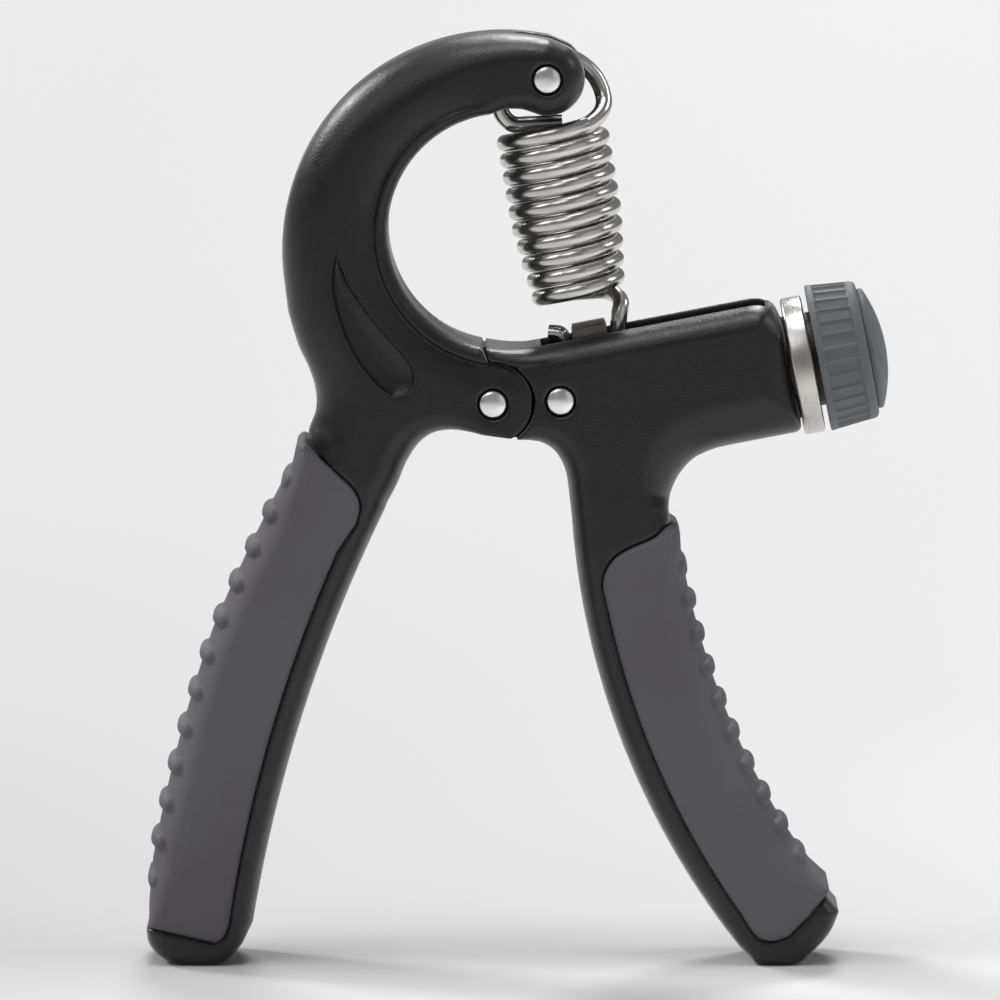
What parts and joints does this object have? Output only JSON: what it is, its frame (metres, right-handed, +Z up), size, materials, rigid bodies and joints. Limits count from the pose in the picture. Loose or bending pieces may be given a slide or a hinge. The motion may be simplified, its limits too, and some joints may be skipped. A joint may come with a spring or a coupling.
{
  "type": "hand grip strengthener",
  "caption": "Hand grip strengthener with hinged levers, rubber grips, an extension spring and a knob that slides the spring's lower end along a slotted barrel.",
  "frame": {"origin": "middle of the base, on the surface that both feet stand on", "axes": "+X to the right, towards the knob; +Y to the back; +Z up, from the feet to the spring's top"},
  "size_m": [0.1223, 0.0244, 0.1537],
  "materials": {
    "black_plastic": "fine moulded texture with a satin sheen",
    "grey_rubber": "soft matte",
    "rivet_steel": "polished",
    "collar_metal": "turned and brushed",
    "bush_brass": "machined",
    "plain_steel": "zinc plated",
    "bracket_steel": "blackened",
    "knob_plastic": "matte moulded",
    "spring_steel": "bright nickel plated"
  },
  "bodies": {
    "hook_lever": {"hook_frame": "black_plastic", "left_grip": "grey_rubber", "top_rivet": "rivet_steel", "pivot_rivet": "rivet_steel"},
    "barrel_lever": {"barrel_frame": "black_plastic", "right_grip": "grey_rubber", "hinge_tongue": "plain_steel", "tongue_rivet": "rivet_steel", "collar_ring": "collar_metal", "end_bush": "bush_brass"},
    "adjuster": {"lead_screw": "plain_steel", "retaining_clip": "plain_steel", "thrust_washer": "black_plastic", "knob_hub": "black_plastic", "knob_sleeve": "knob_plastic", "knob_nut": "plain_steel", "knob_cap": "knob_plastic"},
    "slider": {"slider_nut": "bush_brass", "slider_bracket": "bracket_steel", "bracket_pin": "plain_steel"},
    "spring_top": {"spring_loop": "spring_steel"},
    "spring_mid": {"spring_coil": "spring_steel"},
    "spring_end": {"spring_hook": "spring_steel"}
  },
  "joints": [
    {"name": "squeeze", "type": "hinge", "parent": "hook_lever", "child": "barrel_lever", "pos_m": [-0.0039, 0, 0.093], "axis": [0, 1, 0], "range_deg": [0, 45], "stiffness_Nm_per_rad": 8, "springref_deg": -20.05},
    {"name": "knob_turn", "type": "hinge", "parent": "barrel_lever", "child": "adjuster", "pos_m": [0.04648, 0, 0.09906], "axis": [0.982, 0, 0.1891], "range_deg": [-3960, 0]},
    {"name": "slider_travel", "type": "slide", "parent": "barrel_lever", "child": "slider", "axis": [0.982, 0, 0.1891], "range_m": [0, 0.022]},
    {"name": "spring_swing", "type": "hinge", "parent": "hook_lever", "child": "spring_top", "pos_m": [0.005, 0, 0.1463], "axis": [0, 1, 0], "range_deg": [-27.54, 0]},
    {"name": "spring_pull", "type": "slide", "parent": "spring_top", "child": "spring_mid", "axis": [0.2166, 0, -0.9763], "range_m": [0, 0.01486], "deforming": ["spring_loop", "spring_coil"]},
    {"name": "spring_preload", "type": "slide", "parent": "spring_mid", "child": "spring_end", "axis": [0.1637, 0, -0.9865], "range_m": [0, 0.00482], "deforming": ["spring_hook"]}
  ],
  "couplings": [
    {"joint": "slider_travel", "follows": "knob_turn", "m_per_rad": -0.00031831},
    {"joint": "spring_swing", "follows": "knob_turn", "ratio": 0.0069547},
    {"joint": "spring_pull", "follows": "squeeze", "m_per_rad": 0.018914},
    {"joint": "spring_preload", "follows": "knob_turn", "m_per_rad": -0.000069776}
  ]
}
